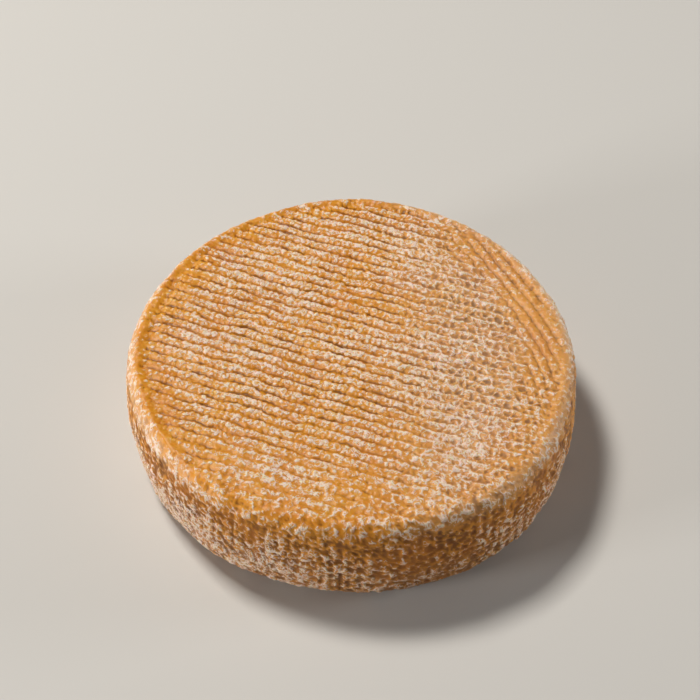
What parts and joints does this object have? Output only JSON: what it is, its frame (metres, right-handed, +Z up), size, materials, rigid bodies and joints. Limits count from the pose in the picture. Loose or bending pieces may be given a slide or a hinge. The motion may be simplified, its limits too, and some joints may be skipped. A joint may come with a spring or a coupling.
{
  "type": "wheel of mountain cheese",
  "caption": "Whole low round wheel of washed-rind mountain cheese, with soft edges, a slightly bulging side and a mat imprint of crossing cords over its top face.",
  "frame": {"origin": "middle of the underside", "axes": "+Z up through the wheel's middle, at right angles to its flat faces; -Y towards the side that faces the camera; +X to that camera's right"},
  "size_m": [0.1954, 0.193, 0.0503],
  "materials": {
    "rind": "matte"
  },
  "bodies": {
    "root": {"cheese_wheel": "rind"}
  },
  "joints": []
}
